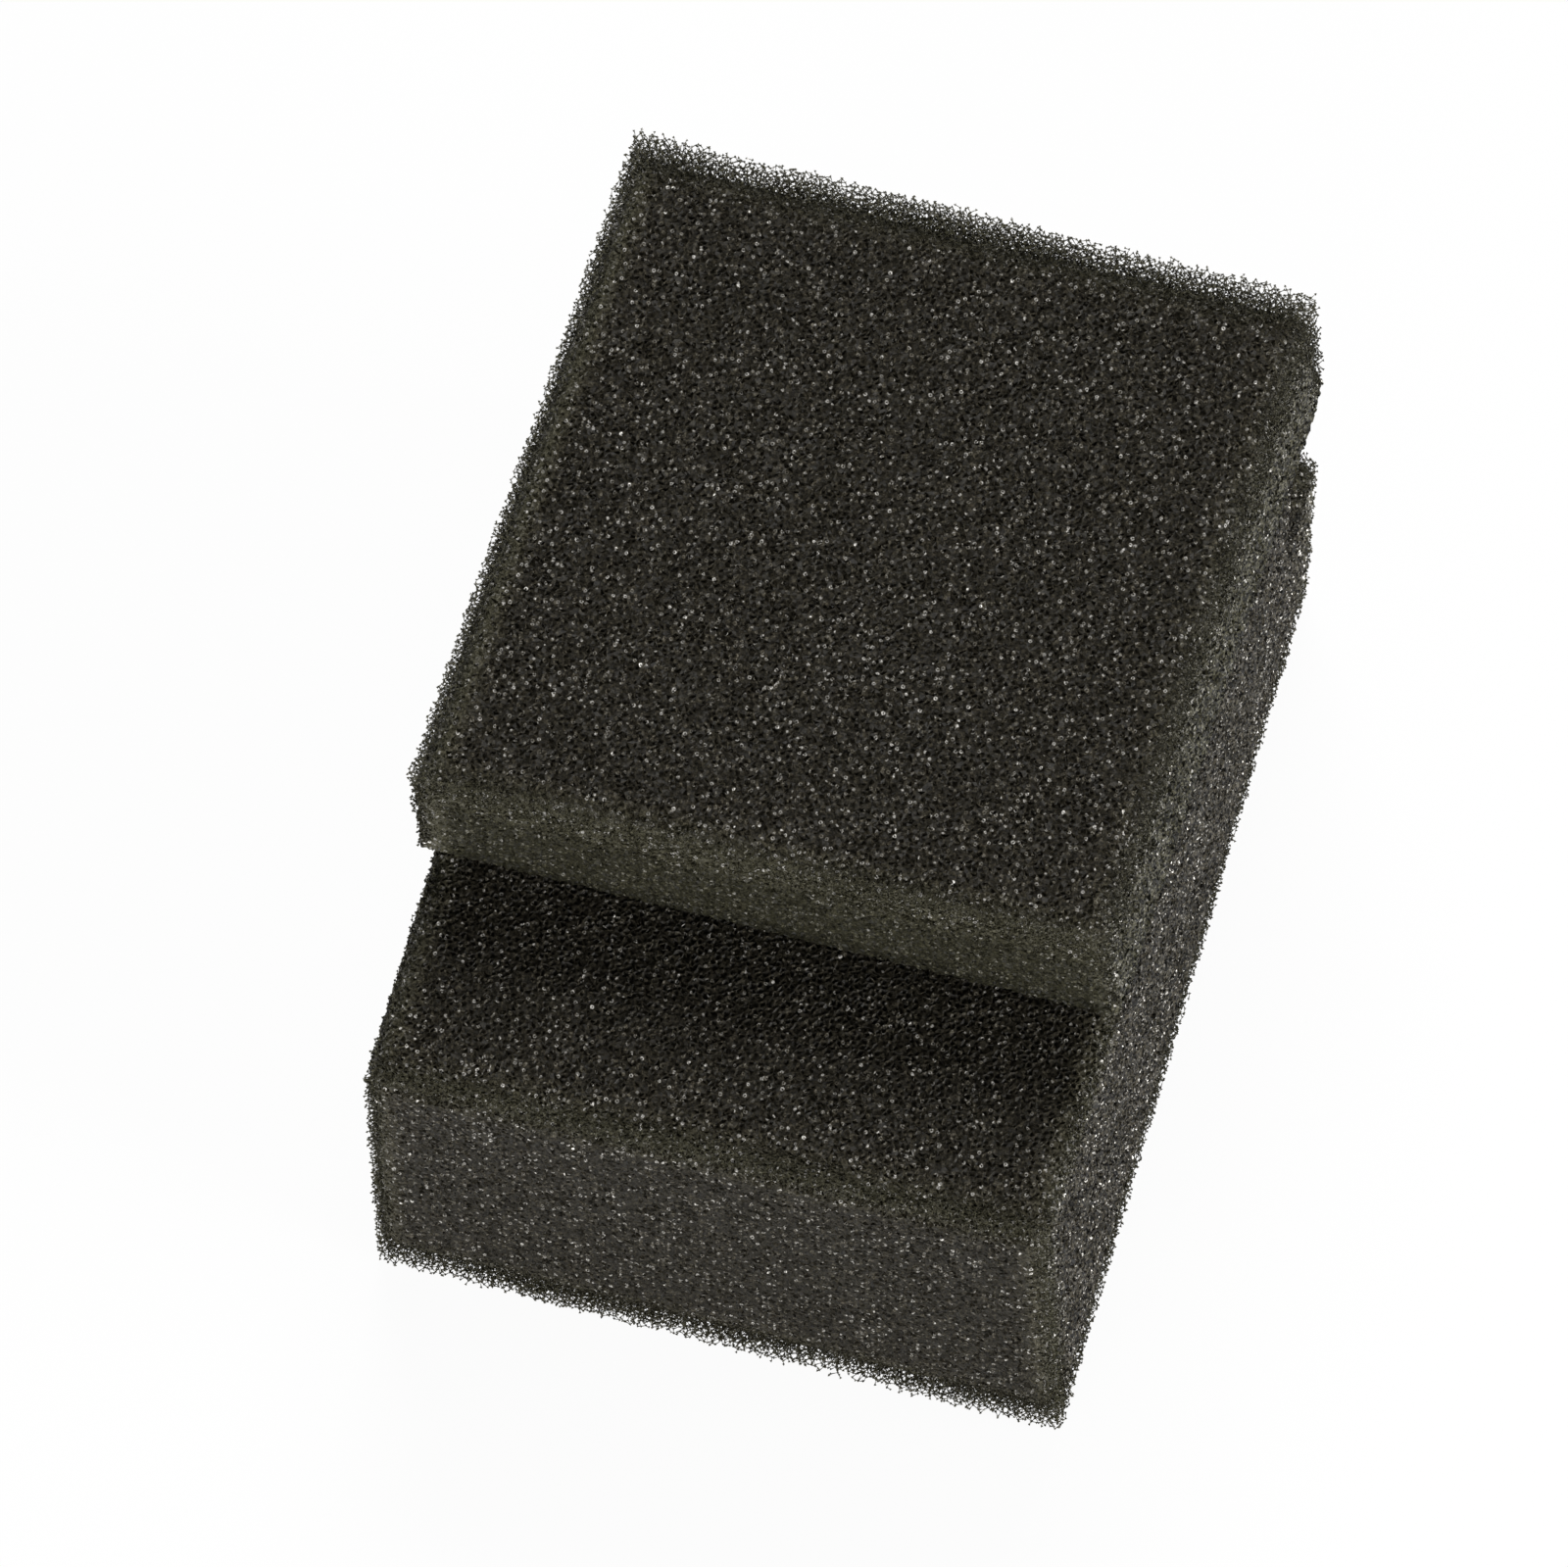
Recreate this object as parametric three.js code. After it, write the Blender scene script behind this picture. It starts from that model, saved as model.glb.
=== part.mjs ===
// A two-piece foam filter medium for an aquarium or pond filter: a thick base block and a thinner
// pad that lies on it. Both are cut from sheets of reticulated polyurethane foam.
// Millimetres, +Z up. X runs across the width, and the front is at -Y.
// The origin is on the underside, at the centre of the block's length and width.
import * as THREE from 'three';

// Both pieces are cut to one width
const foamWidth = 60;

// Base block
const blockLength = 82;
const blockHeight = 39;

// Rebate cut along the block's top back edge
const rebateDepth = 8.5;
const lipHeight = 25;

// Pad
const padThickness = 15.5;
const stepLength = 21; // how much of the block's top shows in front of the pad
const padSkew = 1.7; // the pad's back end lies this far to +X of its front end

// Loose pieces lie on each other with this gap
const restGap = 0.3;

const charcoal = 0x2e2d2a;
const foamRoughness = 0.95;

// A named solid with the foam's finish.
function foamMesh(name, geometry) {
  const material = new THREE.MeshStandardMaterial({
    color: charcoal,
    roughness: foamRoughness,
    metalness: 0,
  });
  const mesh = new THREE.Mesh(geometry, material);
  mesh.name = name;
  return mesh;
}

// A closed outline pushed out along the third axis, with sharp cut edges.
function cutFoam(outline, thickness) {
  const shape = new THREE.Shape(outline.map(([x, y]) => new THREE.Vector2(x, y)));
  return new THREE.ExtrudeGeometry(shape, { depth: thickness, bevelEnabled: false });
}

// The block's side outline is drawn in Y and Z, then turned so that it is pushed out along X.
function baseBlock() {
  const front = -blockLength / 2;
  const back = blockLength / 2;
  const rebateWall = back - rebateDepth;
  const outline = [
    [front, 0],
    [back, 0],
    [back, lipHeight],
    [rebateWall, lipHeight],
    [rebateWall, blockHeight],
    [front, blockHeight],
  ];
  const geometry = cutFoam(outline, foamWidth);
  geometry.rotateX(Math.PI / 2);
  geometry.rotateZ(Math.PI / 2);
  geometry.translate(-foamWidth / 2, 0, 0);
  return foamMesh('base_block', geometry);
}

// The pad's plan is a parallelogram. It covers the block's top from the step to the back face.
function topPad() {
  const front = -blockLength / 2 + stepLength;
  const back = blockLength / 2;
  const half = foamWidth / 2;
  const shift = padSkew / 2;
  const outline = [
    [-half - shift, front],
    [half - shift, front],
    [half + shift, back],
    [-half + shift, back],
  ];
  const geometry = cutFoam(outline, padThickness);
  geometry.translate(0, 0, blockHeight + restGap);
  return foamMesh('top_pad', geometry);
}

const spongeFilter = new THREE.Group();
spongeFilter.add(baseBlock(), topPad());

export default spongeFilter;
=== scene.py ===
"""A sponge filter of two loose pieces of charcoal reticulated foam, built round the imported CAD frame."""
import math

import bmesh
import bpy
import numpy as np
from mathutils import Matrix, Vector


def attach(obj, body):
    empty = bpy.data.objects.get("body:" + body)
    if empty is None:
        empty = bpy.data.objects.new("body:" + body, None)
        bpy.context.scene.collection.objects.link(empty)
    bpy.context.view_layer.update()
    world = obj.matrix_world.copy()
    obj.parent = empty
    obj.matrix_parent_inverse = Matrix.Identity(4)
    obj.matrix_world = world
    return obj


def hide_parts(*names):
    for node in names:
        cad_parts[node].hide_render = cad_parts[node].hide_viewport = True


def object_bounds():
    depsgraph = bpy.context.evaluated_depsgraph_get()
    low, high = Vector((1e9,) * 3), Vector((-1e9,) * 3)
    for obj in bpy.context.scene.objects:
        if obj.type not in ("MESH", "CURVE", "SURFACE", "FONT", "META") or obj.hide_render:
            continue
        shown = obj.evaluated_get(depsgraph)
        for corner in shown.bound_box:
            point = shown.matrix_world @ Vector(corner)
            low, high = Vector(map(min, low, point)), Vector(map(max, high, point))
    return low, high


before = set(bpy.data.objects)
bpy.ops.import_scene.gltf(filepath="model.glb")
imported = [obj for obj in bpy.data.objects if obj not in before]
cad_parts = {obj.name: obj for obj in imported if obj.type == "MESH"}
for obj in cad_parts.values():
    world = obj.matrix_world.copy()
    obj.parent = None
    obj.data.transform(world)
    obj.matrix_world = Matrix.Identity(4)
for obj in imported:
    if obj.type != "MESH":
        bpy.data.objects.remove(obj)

MM = 0.001
CAD_BOX = [list(corner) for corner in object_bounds()]

# The foam's skin, in millimetres
GRID_STEP = 0.27  # spacing of the points that the cut cells are drawn on
GRID_JITTER = 0.36  # how far each point strays, as a share of the spacing
# four kinds of cut cell; a cell with no rim is a plain pit
RIM = (0.055, 0.085, 0.0, 0.0)  # half the width of the strut between two cut cells
RIM_DROP = (0.05, 0.12, 0.0, 0.0)  # how far below the cut face a cell's own opening lies
PIT = (0.13, 0.20, 0.10, 0.26)  # how much deeper the middle of a cut cell lies
RAGGED = 0.09  # how far the cut face strays from flat
SIDE_RAGGED = 0.2  # and on the long sides, which the saw left rougher
SIDE_DEPTH = 1.5  # how far in from the long sides that roughness fades out
UNDERSIDE = 0.2  # cells this near the bottom are larger and have no rims

# The open struts along the cut edges, in millimetres
STRUT_CELL = 1.03  # one cell of their network
STRUT_WIDTH = 0.1  # the length of a strut's two end edges
KNOT = 0.25  # the thick spot where struts meet
KNOT_SHAKE = 0.16  # how far a knot strays from its place, as a share of a cell
KNOT_DRIFT = 0.3  # how far whole patches drift together, as a share of a cell
DRIFT_LENGTH = 9.0  # the size of such a patch
COVERED_EDGE = 0.4  # how little of an edge is open where the pieces lie on each other
COVER_DEPTH = 2.0  # how far from the joint between the pieces that fades out
STEP_BLEND = 2.0  # how gradually the covered top gives way to the bare step

# Painted glints, drawn by chance into each strut's colour, with pit middles darker as painted shade: the
# middle and the spread of a lognormal draw
RIM_GLINT = (-0.5, 0.65)
OPENING_GLINT = (-0.15, 0.7)
PIT_GLINT = (-0.9, 0.8)
STRUT_GLINT = (-0.6, 0.9)
KNOT_GLINT = 0.5  # a knot's painted glint, as a share of a strut's: knots are painted duller, as shade against the light behind them

# Painted light that soaks through thin foam, and painted shade where the pieces touch
STRUT_LIFT = 0.55  # open struts get a smaller share of the painted light: against the light they look darker than the thin foam behind them
OLIVE_GAIN = 1.5  # how soon a lit edge looks olive
SOAK_DEPTH = 2.5  # millimetres in from its sides that the thin pad is painted olive by the light soaking through it
SOAK_LIFT = 0.08  # how much painted light comes out there
COVERED_PAINTED_SHADE = 0.13  # painted shade along the pad's bottom, where it lies on the base

SEED = 7


# ---------------------------------------------------------------- small helpers


def linear(hex_colour):
    """An sRGB hex colour as linear RGBA."""
    channels = [int(hex_colour[i : i + 2], 16) / 255 for i in (1, 3, 5)]
    curve = [c / 12.92 if c <= 0.04045 else ((c + 0.055) / 1.055) ** 2.4 for c in channels]
    return (*curve, 1.0)


def add_node(tree, kind, settings=None, **links):
    """Adds a node. A link's value is an output socket or a plain value for that input."""
    node = tree.nodes.new("ShaderNode" + kind)
    for name, value in (settings or {}).items():
        setattr(node, name, value)
    for name, value in links.items():
        key = int(name[1:]) if name[0] == "i" and name[1:].isdigit() else name.replace("_", " ")
        if isinstance(value, bpy.types.NodeSocket):
            tree.links.new(value, node.inputs[key])
        else:
            node.inputs[key].default_value = value
    return node


def maths(tree, operation, *values):
    """The result of a Math node."""
    inputs = {f"i{k}": value for k, value in enumerate(values)}
    return add_node(tree, "Math", {"operation": operation}, **inputs).outputs[0]


def attribute(tree, name):
    """A value that the mesh carries at each vertex."""
    return add_node(tree, "Attribute", {"attribute_name": name}).outputs["Fac"]


def chance_of(tree, cells):
    """A random number from 0 to 1 for each cell of a Voronoi pattern."""
    return add_node(tree, "SeparateColor", Color=cells.outputs["Color"]).outputs[0]


def fade(gap, depth, start=1.0):
    """1 near an edge and 0 further in. A start above 1 begins the fall further in."""
    return np.clip(start - gap / depth, 0, 1)


def coordinates_of(mesh, unit=MM):
    """A mesh's vertex places as an array, in millimetres."""
    flat = np.empty(len(mesh.vertices) * 3, np.float32)
    mesh.vertices.foreach_get("co", flat)
    return flat.reshape(-1, 3).astype(float) / unit


def set_coordinates(mesh, places, unit=MM):
    mesh.vertices.foreach_set("co", (places * unit).astype(np.float32).ravel())
    mesh.update()


def set_attribute(mesh, name, values):
    layer = mesh.attributes.new(name, "FLOAT", "POINT")
    layer.data.foreach_set("value", np.asarray(values, np.float32))


def smooth_noise(places, wavelength, seed):
    """A smooth random field of three components, each about -1 to 1, from a few sine waves."""
    waves = 6
    random = np.random.default_rng(seed)
    out = np.zeros_like(places)
    for _ in range(waves):
        direction = random.normal(size=(3, 3))
        direction /= np.linalg.norm(direction, axis=1)[:, None]
        phase = random.uniform(0, 2 * math.pi, 3)
        pace = 2 * math.pi / (wavelength * random.uniform(0.6, 1.6, 3))
        out += np.sin((places @ direction.T) * pace + phase)
    return out / math.sqrt(waves)


# ---------------------------------------------------------------- the two blocks' shapes


class Block:
    """A foam block as one or two boxes, with the hand-cut lean of its corners.

    thin_low and thin_high: how far in from the low and high side of X, Y and Z the foam
    gives way to open struts. leans: how far each corner (x, y, z as 0 or 1) sits from square.
    bands: how far painted light reaches in past the edges of each side, and how strongly.
    bare_to: the top is in the open in front of this Y.
    lies_on: the thin piece on top, painted olive all round by light soaking through it.
    """

    def __init__(self, node, thin_low, thin_high, leans, bands, bare_to, lies_on):
        places = coordinates_of(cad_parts[node].data)
        self.low, self.high = places.min(0), places.max(0)
        self.y_lines, self.z_lines = [
            [float(v) for v in np.unique(np.round(places[:, k], 3))] for k in (1, 2)
        ]
        front = places[places[:, 1] < self.low[1] + 0.01]
        back = places[places[:, 1] > self.high[1] - 0.01]
        self.width = float(np.ptp(front[:, 0]))
        self.skew = float(back[:, 0].min() - front[:, 0].min())
        y0, y1 = self.y_lines[0], self.y_lines[-1]
        z0, z1 = self.z_lines[0], self.z_lines[-1]
        half = self.width / 2
        if len(self.z_lines) == 3:  # a rebate along the top back edge
            lip, wall = self.z_lines[1], self.y_lines[1]
            boxes = [((-half, y0, z0), (half, wall, z1)), ((-half, y0, z0), (half, y1, lip))]
        else:
            boxes = [((-half, y0, z0), (half, y1, z1))]
        self.boxes = [(np.array(a), np.array(b)) for a, b in boxes]
        self.thin_low, self.thin_high = np.array(thin_low), np.array(thin_high)
        self.leans, self.bands = leans, bands
        self.bare_to, self.lies_on = bare_to, lies_on

    def true_places(self, places):
        """The block as cut: skewed in plan, and each corner a little out of square."""
        share = (places - [-self.width / 2, *self.low[1:]]) / [self.width, *(self.high - self.low)[1:]]
        moved = places.copy()
        moved[:, 0] += (share[:, 1] - 0.5) * self.skew
        for corner, shift in self.leans.items():
            weight = np.ones(len(places))
            for k, side in enumerate(corner):
                weight *= share[:, k] if side else 1 - share[:, k]
            moved[:, :2] += weight[:, None] * shift
        return moved

    def core(self, places):
        """For each place the nearest point of the block's heart, and 1 on the foam's skin."""
        best, near = None, None
        for low, high in self.boxes:
            thin_low = np.tile(self.thin_low, (len(places), 1))
            thin_high = np.tile(self.thin_high, (len(places), 1))
            closed = self.covered(places)
            thin_low[:, 0] += (COVERED_EDGE - self.thin_low[0]) * closed
            thin_high[:, 0] += (COVERED_EDGE - self.thin_high[0]) * closed
            if high[2] == self.high[2]:
                thin_high[:, 2] += (COVERED_EDGE - self.thin_high[2]) * (1 - self.open_top(places))
            point = np.clip(places, low + thin_low, high - thin_high)
            reach = np.where(places < point, thin_low, thin_high)
            gap = np.linalg.norm((places - point) / reach, axis=1)
            if best is None:
                best, near = point, gap
            else:
                closer = gap < near
                best[closer], near[closer] = point[closer], gap[closer]
        return best, near

    def side_share(self, places):
        """1 on the left and right faces, 0 from a little way in."""
        return fade(self.width / 2 - np.abs(places[:, 0]), SIDE_DEPTH, start=1.2)

    def open_top(self, places):
        """1 where nothing lies on the block's top, 0 where something does."""
        return np.clip((self.bare_to - places[:, 1]) / STEP_BLEND + 0.5, 0, 1)

    def covered(self, places):
        """1 along the edges where the two pieces lie on each other, 0 from a little way off."""
        if self.lies_on:
            return fade(places[:, 2] - self.low[2], COVER_DEPTH, start=1.5)
        near_top = fade(self.high[2] - places[:, 2], COVER_DEPTH, start=1.5)
        return near_top * (1 - self.open_top(places))

    def inside(self, places, margin=0.0):
        return np.any(
            [((places >= a + margin) & (places <= b - margin)).all(1) for a, b in self.boxes], axis=0
        )

    def lit_edges(self, places):
        """Two shares for each place: how much painted light soaks out of a cut edge, and how olive that
        light is painted.
        """
        half = self.width / 2
        gaps = {
            "left": places[:, 0] + half,
            "right": half - places[:, 0],
            "front": places[:, 1] - self.low[1],
            "back": self.high[1] - places[:, 1],
            "top": self.high[2] - places[:, 2],
            "bottom": places[:, 2] - self.low[2],
        }
        open_top = self.open_top(places)
        shares = []
        for side, gap in gaps.items():
            reach, strength = self.bands[side]
            share = fade(gap, reach) ** 2 * strength
            shares.append(share * open_top if side == "top" else share)
        # an edge is where two sides are near, so the second largest share counts
        painted_light = np.sort(shares, axis=0)[-2]
        olive = np.clip(painted_light * OLIVE_GAIN, 0, 1)
        # the thin pad is painted olive and lighter near all its sides, as light soaks through it
        if self.lies_on:
            near_side = np.min([gaps[side] for side in ("left", "right", "front", "back")], axis=0)
            soaked = fade(near_side, SOAK_DEPTH)
            olive = np.maximum(olive, soaked)
            # painted shade along the pad's bottom, where it lies on the base, darkens it again
            painted_light = np.maximum(painted_light, soaked * SOAK_LIFT) - self.covered(places) * COVERED_PAINTED_SHADE
        return painted_light, olive


pad = Block(
    "top_pad",
    thin_low=(2.5, 1.75, COVERED_EDGE),
    thin_high=(2.0, 5.4, 8.6),
    leans={
        (0, 1, 1): (-0.6, 0.75),
        (1, 1, 1): (-0.95, 0.65),
        (1, 0, 1): (-1.05, -1.3),
        (0, 0, 1): (-1.05, -1.5),
        (0, 0, 0): (-0.6, -0.8),
        (1, 0, 0): (0.15, -0.6),
        (1, 1, 0): (0.1, 0.4),
        (0, 1, 0): (0.3, 0.3),
    },
    bands={
        # a strong band paints light on the left side, which no lamp reaches
        "left": (4.6, 2.4),
        "right": (4.5, 0.4),
        "front": (3.3, 1.0),
        "back": (6.0, 2.0),
        "top": (8.0, 2.2),
        "bottom": (1.0, 0.0),
    },
    bare_to=math.inf,
    lies_on=True,
)
base = Block(
    "base_block",
    thin_low=(2.0, 4.1, 8.4),
    thin_high=(2.0, 2.5, 2.5),
    leans={
        (0, 0, 1): (-0.2, -1.2),
        (1, 0, 1): (-1.45, -0.8),
        (1, 1, 1): (0.85, 0.6),
        (0, 0, 0): (0.1, -0.65),
        (1, 0, 0): (0.45, -0.75),
        (1, 1, 0): (0.65, 0.2),
    },
    bands={
        "left": (4.0, 1.2),
        "right": (4.0, 0.9),
        "front": (4.5, 1.3),
        "back": (9.0, 1.0),
        "top": (4.0, 1.0),
        # the bottom band paints light bounced up from the white floor and soaking through the bottom edge
        "bottom": (9.0, 1.6),
    },
    bare_to=float(pad.low[1]),
    lies_on=False,
)


# ---------------------------------------------------------------- cut cells of the block faces


def add_side(bm, corner, along, up, counts):
    """A gridded rectangle from its corner and two sides, facing along x up."""
    normal = along.cross(up).normalized()
    matrix = Matrix((along / 2, up / 2, normal)).transposed().to_4x4()
    matrix.translation = corner + (along + up) / 2
    bmesh.ops.create_grid(bm, x_segments=counts[0], y_segments=counts[1], size=1.0, matrix=matrix)


def gridded_shell(bm, block):
    """The block's outer faces as grids that share their edge lines."""

    def squares(a, b):
        return max(1, round((b - a) / GRID_STEP))

    half = block.width / 2
    ys, zs = block.y_lines, block.z_lines
    spans_y, spans_z = list(zip(ys, ys[1:])), list(zip(zs, zs[1:]))
    across = squares(-half, half)
    wide = Vector((block.width, 0, 0))
    for a, b in spans_y:
        n = squares(a, b)
        deep = Vector((0, b - a, 0))
        top = zs[-1] if (a, b) == spans_y[0] else zs[1]
        add_side(bm, Vector((-half, a, zs[0])), deep, wide, (n, across))
        add_side(bm, Vector((-half, a, top)), wide, deep, (across, n))
    for a, b in spans_z:
        n = squares(a, b)
        tall = Vector((0, 0, b - a))
        back = ys[-1] if (a, b) == spans_z[0] else ys[1]
        add_side(bm, Vector((-half, ys[0], a)), wide, tall, (across, n))
        add_side(bm, Vector((-half, back, a)), tall, wide, (n, across))
        for c, d in spans_y:
            if (a, b) != spans_z[0] and (c, d) != spans_y[0]:
                continue
            m = squares(c, d)
            deep = Vector((0, d - c, 0))
            add_side(bm, Vector((half, c, a)), deep, tall, (m, n))
            add_side(bm, Vector((-half, c, a)), tall, deep, (n, m))
    bmesh.ops.remove_doubles(bm, verts=bm.verts, dist=0.01)


def spread_vertices(bm, random):
    """A random pick of vertices, no two of them joined by an edge."""
    bm.verts.ensure_lookup_table()
    taken = np.zeros(len(bm.verts), bool)
    picked = []
    for index in random.permutation(len(bm.verts)):
        if taken[index]:
            continue
        vertex = bm.verts[index]
        picked.append(vertex)
        for edge in vertex.link_edges:
            taken[edge.other_vert(vertex).index] = True
    return picked


def foam_body(block, name, seed):
    """The closed skin of cut cells over the block's core, with rims, flanks and pit bottoms."""
    random = np.random.default_rng(seed)
    bm = bmesh.new()
    gridded_shell(bm, block)
    mesh = bpy.data.meshes.new(name)
    bm.to_mesh(mesh)
    places = coordinates_of(mesh, 1)
    places += random.uniform(-GRID_JITTER, GRID_JITTER, places.shape) * GRID_STEP
    core, near = block.core(places)
    places = core + (places - core) / np.maximum(near, 1e-6)[:, None]
    rough = block.side_share(places)[:, None] * [SIDE_RAGGED - RAGGED, 0, 0] + RAGGED
    places += random.uniform(-1, 1, places.shape) * rough
    for vertex, place in zip(bm.verts, places):
        vertex.co = place
    bmesh.ops.triangulate(bm, faces=bm.faces, quad_method="BEAUTY")
    bmesh.ops.dissolve_verts(bm, verts=spread_vertices(bm, random))
    underside = [v for v in spread_vertices(bm, random) if v.co.z < block.low[2] + UNDERSIDE]
    bmesh.ops.dissolve_verts(bm, verts=underside)
    bm.normal_update()
    glint = bm.verts.layers.float.new("glint")
    for vertex, value in zip(bm.verts, random.lognormal(*RIM_GLINT, len(bm.verts))):
        vertex[glint] = value
    cells = [face for face in bm.faces if len(face.verts) > 3]
    group = random.integers(0, len(RIM), len(cells))
    for kind, (rim, drop, pit) in enumerate(zip(RIM, RIM_DROP, PIT)):
        chosen = [cell for cell, g in zip(cells, group) if g == kind]
        if rim:
            chosen = [c for c in chosen if c.calc_center_median().z > block.low[2] + UNDERSIDE]
            bmesh.ops.inset_individual(
                bm, faces=chosen, thickness=rim, depth=-drop, use_even_offset=False
            )
            # each opening is painted as one glint, brighter on the whole than the rims
            for cell, value in zip(chosen, random.lognormal(*OPENING_GLINT, len(chosen))):
                for vertex in cell.verts:
                    vertex[glint] = value
        made = bmesh.ops.poke(bm, faces=chosen, offset=-pit, center_mode="MEAN")
        # each pit's middle is painted darker on the whole, as shade
        for vertex, value in zip(made["verts"], random.lognormal(*PIT_GLINT, len(chosen))):
            vertex[glint] = value
    bm.to_mesh(mesh)
    bm.free()
    places = coordinates_of(mesh, 1)
    painted_light, olive = block.lit_edges(places)
    set_attribute(mesh, "painted_light", painted_light)
    set_attribute(mesh, "olive", olive)
    set_attribute(mesh, "side", block.side_share(places))
    set_coordinates(mesh, block.true_places(places))
    piece = bpy.data.objects.new(name, mesh)
    bpy.context.scene.collection.objects.link(piece)
    return piece


# ---------------------------------------------------------------- open struts along the cut edges


def kelvin_struts():
    """Both ends of every strut in one cube of equal 14-sided cells, much like real foam's."""
    corners = []
    for a, b, c in ((0, 1, 2), (1, 2, 0), (2, 0, 1)):
        for quarter in (0.25, 0.75):
            for x, y in ((0.0, 0.5), (0.5, 0.0)):
                point = np.zeros(3)
                point[[a, b, c]] = quarter, x, y
                corners.append(point)
    ends = []
    reach = math.sqrt(2) / 4
    shifts = [np.array([i, j, k]) for i in (-1, 0, 1) for j in (-1, 0, 1) for k in (-1, 0, 1)]
    for point in corners:
        for other in corners:
            for shift in shifts:
                far = other + shift
                if abs(np.linalg.norm(far - point) - reach) < 1e-6 and tuple(far) > tuple(point):
                    ends.append((point, far))
    return np.array(ends)


def shaken(places):
    """Moves each node a little, the same way wherever it is met again."""
    key = np.round(places / 0.01).astype(np.int64)
    # large primes mix the three coordinates, and a large sine's fraction is as good as random
    mixed = (key[:, 0] * 73856093) ^ (key[:, 1] * 19349663) ^ (key[:, 2] * 83492791)
    out = places.copy()
    for k in range(3):
        value = np.sin((mixed % 1000003) * (12.9898 + k * 3.17)) * 43758.5453
        out[:, k] += (value - np.floor(value) - 0.5) * 2 * STRUT_CELL * KNOT_SHAKE
    return out + smooth_noise(places, DRIFT_LENGTH, SEED + 1) * STRUT_CELL * KNOT_DRIFT


def foam_struts(block, name, seed):
    """The open network between the block's core and its cut edges."""
    margin = 1.0
    deep_cell, deep_strut = 0.6, 0.97  # on this scale the core is 0 and the foam's skin 1
    low, high = block.low - margin, block.high + margin
    counts = np.ceil((high - low) / STRUT_CELL).astype(int)
    places = low + np.indices(counts).reshape(3, -1).T * STRUT_CELL
    near = block.core(places + STRUT_CELL / 2)[1]
    places = places[(near > deep_cell) & block.inside(places + STRUT_CELL / 2, -STRUT_CELL)]
    ends = kelvin_struts() * STRUT_CELL
    first = shaken((places[:, None] + ends[None, :, 0]).reshape(-1, 3))
    second = shaken((places[:, None] + ends[None, :, 1]).reshape(-1, 3))
    outside_skin = block.core((first + second) / 2)[1] > deep_strut
    kept = block.inside(first) & block.inside(second) & outside_skin
    first, second = first[kept], second[kept]
    random = np.random.default_rng(seed)
    knots = np.unique(np.round(np.concatenate([first, second]), 3), axis=0)
    turn = random.normal(size=knots.shape)
    turn *= KNOT / math.sqrt(8) / np.linalg.norm(turn, axis=1)[:, None]
    widths = np.repeat([STRUT_WIDTH, KNOT], [len(first), len(knots)])
    glint = random.lognormal(*STRUT_GLINT, len(widths)) * np.where(widths == KNOT, KNOT_GLINT, 1.0)
    first, second = np.concatenate([first, knots - turn]), np.concatenate([second, knots + turn])
    painted_light, olive = block.lit_edges((first + second) / 2)
    mesh = strut_mesh(block.true_places(first), block.true_places(second), widths, name)
    set_attribute(mesh, "painted_light", np.repeat(painted_light * STRUT_LIFT, 4))
    set_attribute(mesh, "olive", np.repeat(olive, 4))
    set_attribute(mesh, "glint", np.repeat(glint, 4))
    piece = bpy.data.objects.new(name, mesh)
    bpy.context.scene.collection.objects.link(piece)
    return piece


def strut_mesh(first, second, widths, name):
    """Each strut or knot as a closed sliver of four faces, whose two end edges cross."""
    along = second - first
    along /= np.maximum(np.linalg.norm(along, axis=1), 1e-9)[:, None]
    helper = np.where(np.abs(along[:, 2:3]) < 0.8, [[0.0, 0.0, 1.0]], [[1.0, 0.0, 0.0]])
    side = np.cross(along, helper)
    side *= (widths / 2 / np.linalg.norm(side, axis=1))[:, None]
    other = np.cross(along, side)
    corners = np.stack([first - side, first + side, second - other, second + other], axis=1)
    faces = np.array([[0, 1, 2], [1, 0, 3], [2, 3, 0], [3, 2, 1]])
    faces = (faces[None] + 4 * np.arange(len(first))[:, None, None]).reshape(-1, 3)
    mesh = bpy.data.meshes.new(name)
    mesh.from_pydata((corners.reshape(-1, 3) * MM).tolist(), [], faces.tolist())
    mesh.update()
    return mesh


# ---------------------------------------------------------------- materials


# Patterns of painted glints in the foam's colour, in millimetres
DOT_CELL = 0.48  # spacing of the painted highlights of single struts that face the light
GRAIN = 0.15  # the finer painted glints of the struts between them
SPARK_CELL = 0.22  # painted sparkles on the facets of the rough long sides
# on the dots' own scale, where 1 is their spacing
DOT_RADIUS = 0.27
DOT_WIDTH = 0.16


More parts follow.
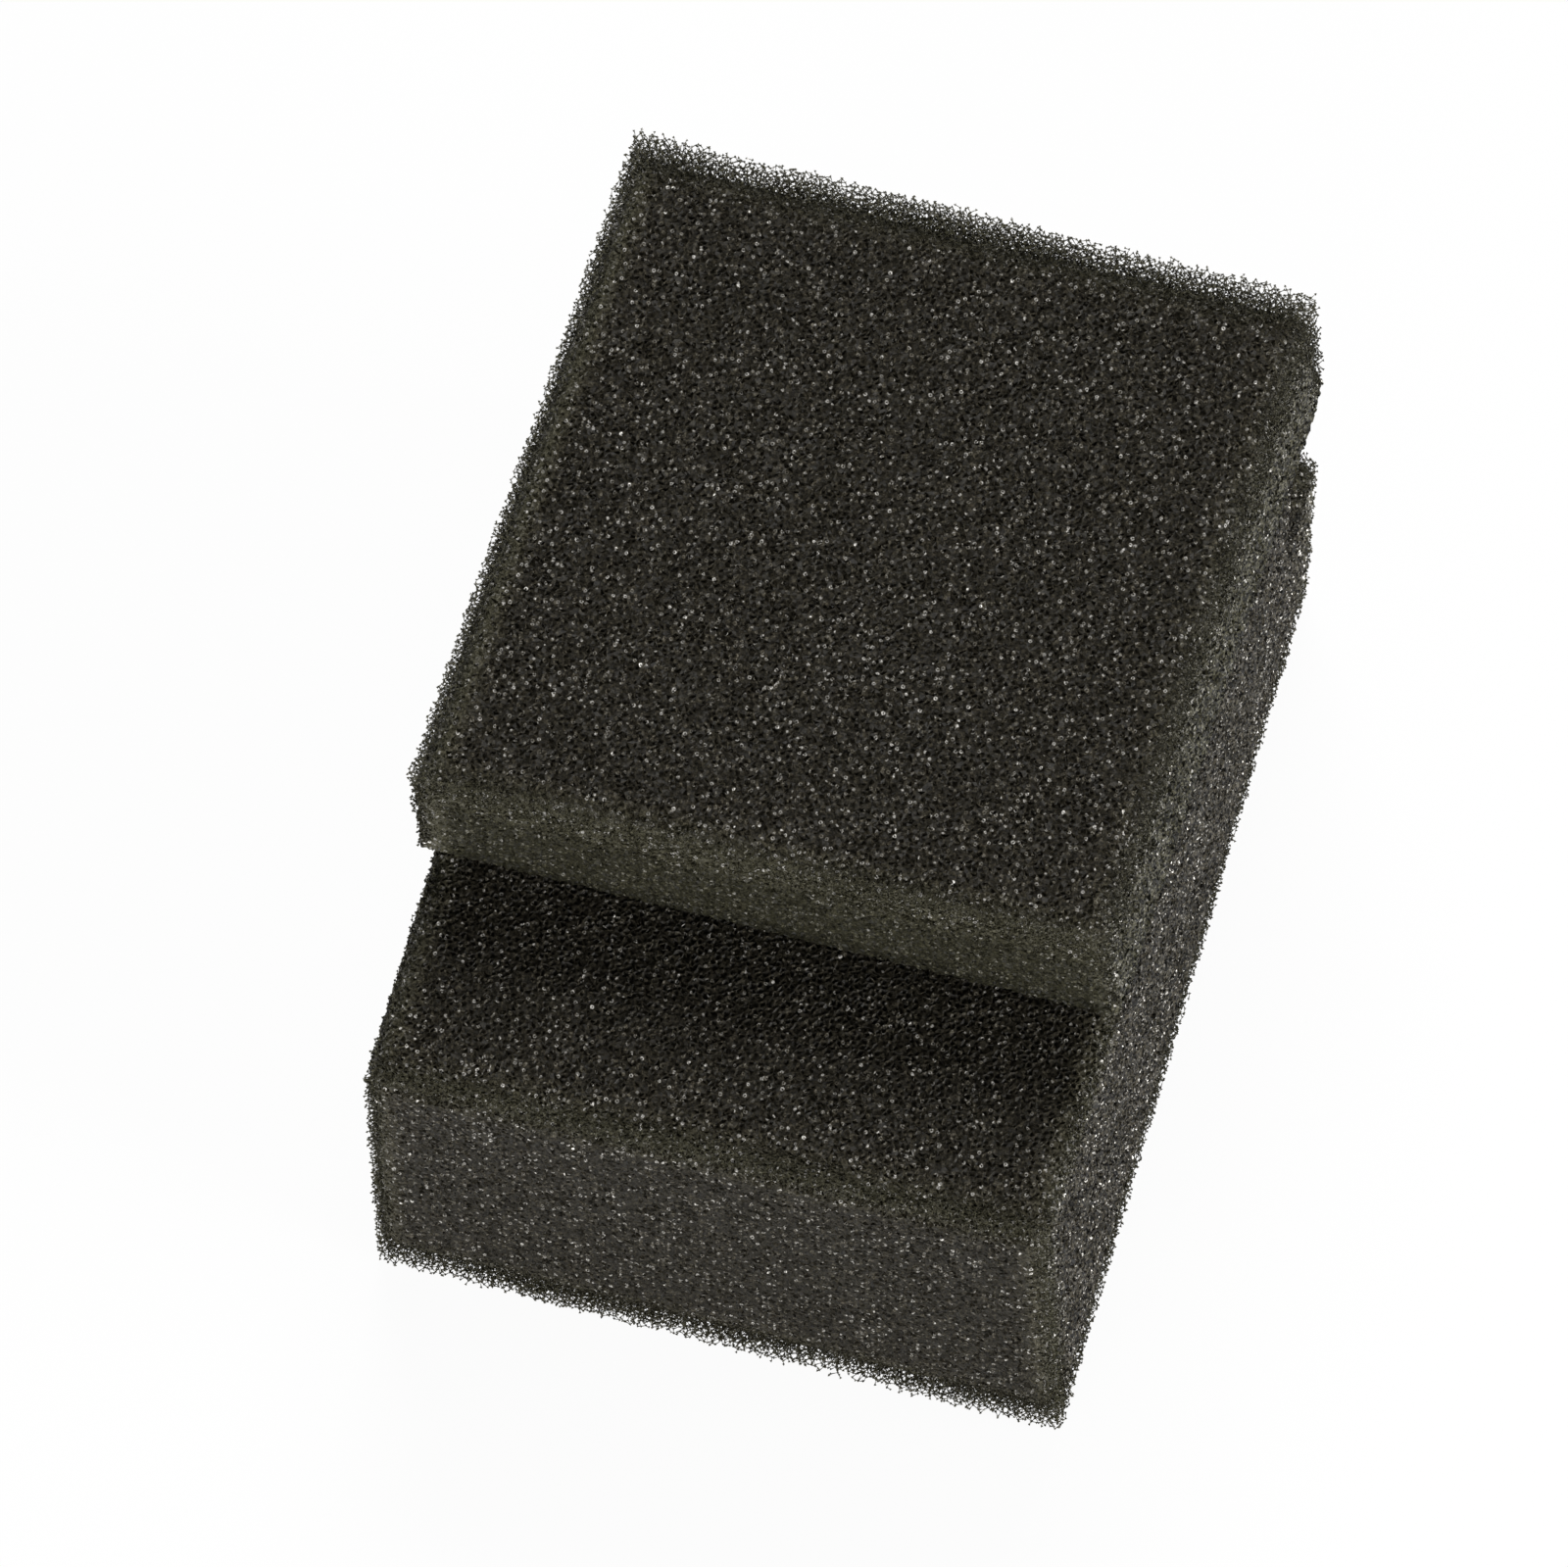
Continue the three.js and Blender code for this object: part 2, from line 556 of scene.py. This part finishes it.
def foam_material(name):
    """Carbon-black polyurethane foam: brown-black struts, with painted glints as if each caught the light
    differently.
    """
    material = bpy.data.materials.new(name)
    material.use_nodes = True
    tree = material.node_tree
    tree.nodes.clear()
    painted_light, olive, glint = [attribute(tree, carried) for carried in ("painted_light", "olive", "glint")]
    # the painted light that soaks through thin foam evens the painted glints out
    evening = maths(tree, "MULTIPLY", olive, 0.35)
    evening = maths(tree, "ADD", evening, 0.5)
    level = add_node(tree, "Mix", Factor=evening, i2=glint, i3=0.8).outputs[0]
    # painted highlights of single struts that face the light: small dots and rings, each as bright as
    # chance has it
    where = add_node(tree, "TexCoord").outputs["Object"]
    bubbles = add_node(tree, "TexVoronoi", Vector=where, Scale=1 / (DOT_CELL * MM))
    off_ring = maths(tree, "SUBTRACT", bubbles.outputs["Distance"], DOT_RADIUS)
    off_ring = maths(tree, "ABSOLUTE", off_ring)
    ring = add_node(tree, "MapRange", Value=off_ring, From_Max=DOT_WIDTH, To_Min=1.0, To_Max=0.0)
    chance = maths(tree, "POWER", chance_of(tree, bubbles), 4.0)
    dots = maths(tree, "MULTIPLY", ring.outputs[0], chance)
    # thin foam shows its painted highlights less
    thick = add_node(tree, "MapRange", Value=olive, To_Min=12.0, To_Max=5.0).outputs[0]
    dots = maths(tree, "MULTIPLY_ADD", dots, thick, 0.52)
    # a finer grain of painted glints on the struts between them, and painted sparkles on the sharper
    # facets of the long sides
    grain = add_node(tree, "TexNoise", Vector=where, Scale=1 / (GRAIN * MM), Detail=0.0).outputs["Fac"]
    side = attribute(tree, "side")
    spread = add_node(tree, "MapRange", Value=grain, From_Min=0.3, From_Max=0.7, To_Min=0.4, To_Max=1.6)
    facets = add_node(tree, "TexVoronoi", Vector=where, Scale=1 / (SPARK_CELL * MM))
    spark = maths(tree, "POWER", chance_of(tree, facets), 3.0)
    spark = maths(tree, "MULTIPLY_ADD", spark, 5.0, 0.1)
    fine = add_node(tree, "Mix", Factor=side, i2=spread.outputs[0], i3=spark).outputs[0]
    fine = maths(tree, "MULTIPLY", fine, dots)
    level = maths(tree, "MULTIPLY", level, fine)
    # painted light along the cut edges brightens the colour, and painted shade where the pieces touch
    # darkens it
    gain = maths(tree, "MULTIPLY_ADD", painted_light, 3.0, 1.0)
    level = maths(tree, "MULTIPLY", level, gain)
    # painted glints are neutral, dull struts brown, and thin foam is painted olive by the light that soaks
    # through it
    pale = add_node(tree, "MapRange", Value=level, From_Min=1.0, From_Max=4.0).outputs[0]
    blend = {"data_type": "RGBA"}
    brown, olive_brown, neutral = [linear(shade) for shade in ("#3a362c", "#3c3a2c", "#393836")]
    tint = add_node(tree, "Mix", blend, Factor=olive, i6=brown, i7=olive_brown).outputs[2]
    tint = add_node(tree, "Mix", blend, Factor=pale, i6=tint, i7=neutral).outputs[2]
    colour = add_node(tree, "VectorMath", {"operation": "SCALE"}, i0=tint, i3=level)
    shader = add_node(tree, "BsdfPrincipled", Base_Color=colour.outputs[0], Roughness=0.45)
    shader.inputs["Specular IOR Level"].default_value = 0.12
    add_node(tree, "OutputMaterial", Surface=shader.outputs[0])
    return material


# ---------------------------------------------------------------- the pieces

foam = foam_material("reticulated foam")
for order, (block, stem, node, body) in enumerate(
    ((base, "base", "base_block", "block"), (pad, "pad", "top_pad", "pad"))
):
    skin = foam_body(block, f"{stem}_foam", SEED + order)
    struts = foam_struts(block, f"{stem}_foam_edges", SEED + 10 + order)
    for piece in (skin, struts):
        piece.data.materials.append(foam)
        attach(piece, body)
        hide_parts(node)


# ---------------------------------------------------------------- floor, light and camera


FLOOR_SIZE = 3.0
PAPER = 0.85
PAPER_GLOW = 0.94  # how much of the floor the camera sees as plain white


def make_floor():
    """White paper that keeps the object's shadow."""
    floor_mesh = bpy.data.meshes.new("floor")
    bm = bmesh.new()
    bmesh.ops.create_grid(bm, x_segments=1, y_segments=1, size=FLOOR_SIZE)
    bm.to_mesh(floor_mesh)
    bm.free()
    floor = bpy.data.objects.new("floor", floor_mesh)
    bpy.context.scene.collection.objects.link(floor)
    material = bpy.data.materials.new("white paper")
    material.use_nodes = True
    tree = material.node_tree
    tree.nodes.clear()
    path = add_node(tree, "LightPath")
    paper = add_node(tree, "BsdfDiffuse", Color=(PAPER, PAPER, PAPER, 1))
    glow = add_node(tree, "Emission", Color=(1, 1, 1, 1), Strength=1.0)
    share = maths(tree, "MULTIPLY", path.outputs["Is Camera Ray"], PAPER_GLOW)
    mix = add_node(tree, "MixShader", i0=share, i1=paper.outputs[0], i2=glow.outputs[0])
    add_node(tree, "OutputMaterial", Surface=mix.outputs[0])
    floor_mesh.materials.append(material)


LAMP_TARGET = (0, 0, 0.03)


def make_light(name, place, size, watts):
    """A softbox that faces the object's middle."""
    data = bpy.data.lights.new(name, "AREA")
    data.shape = "RECTANGLE"
    data.size, data.size_y = size
    data.energy = watts
    lamp = bpy.data.objects.new(name, data)
    lamp.location = place
    lamp.rotation_euler = (Vector(LAMP_TARGET) - Vector(place)).to_track_quat("-Z", "Y").to_euler()
    bpy.context.scene.collection.objects.link(lamp)


def make_world(strength):
    """A faint even light, with plain white behind everything."""
    world = bpy.data.worlds.new("studio")
    bpy.context.scene.world = world
    world.use_nodes = True
    tree = world.node_tree
    tree.nodes.clear()
    sky = add_node(tree, "Background", Color=(1, 1, 1, 1), Strength=strength)
    white = add_node(tree, "Background", Color=(1, 1, 1, 1), Strength=1.0)
    path = add_node(tree, "LightPath")
    seen = path.outputs["Is Camera Ray"]
    mix = add_node(tree, "MixShader", i0=seen, i1=sky.outputs[0], i2=white.outputs[0])
    add_node(tree, "OutputWorld", Surface=mix.outputs[0])


CAMERA_AZIMUTH, CAMERA_ELEVATION = 15.2, 64.7
CAMERA_DISTANCE = 1.573
CAMERA_LENS = 427.5
SENSOR = 36.0


def make_camera(left, above):
    """left and above: how far the view's centre lies left of and above the object's centre."""
    data = bpy.data.cameras.new("camera")
    data.sensor_width = SENSOR
    data.lens = CAMERA_LENS
    data.clip_start, data.clip_end = 0.05, 20
    camera = bpy.data.objects.new("camera", data)
    turn, rise = math.radians(CAMERA_AZIMUTH), math.radians(CAMERA_ELEVATION)
    back = Vector((math.sin(turn) * math.cos(rise), -math.cos(turn) * math.cos(rise), math.sin(rise)))
    right = Vector((math.cos(turn), math.sin(turn), 0))
    up = back.cross(right)
    low, high = Vector(CAD_BOX[0]), Vector(CAD_BOX[1])
    aim = (low + high) / 2 - right * left + up * above
    camera.location = aim + back * CAMERA_DISTANCE
    camera.rotation_mode = "QUATERNION"
    camera.rotation_quaternion = (-back).to_track_quat("-Z", "Y")
    bpy.context.scene.collection.objects.link(camera)
    bpy.context.scene.camera = camera


make_floor()
make_world(0.15)
make_light("right softbox", place=(0.95, -0.1, 0.24), size=(0.6, 0.4), watts=14.0)
make_light("front softbox", place=(-0.1, -1.1, 0.25), size=(0.8, 0.4), watts=10.5)
make_light("back softbox", place=(-0.15, 0.62, 0.9), size=(0.5, 0.4), watts=8.4)
make_camera(left=0.0051, above=-0.0002)
bpy.context.scene.view_settings.view_transform = "Standard"
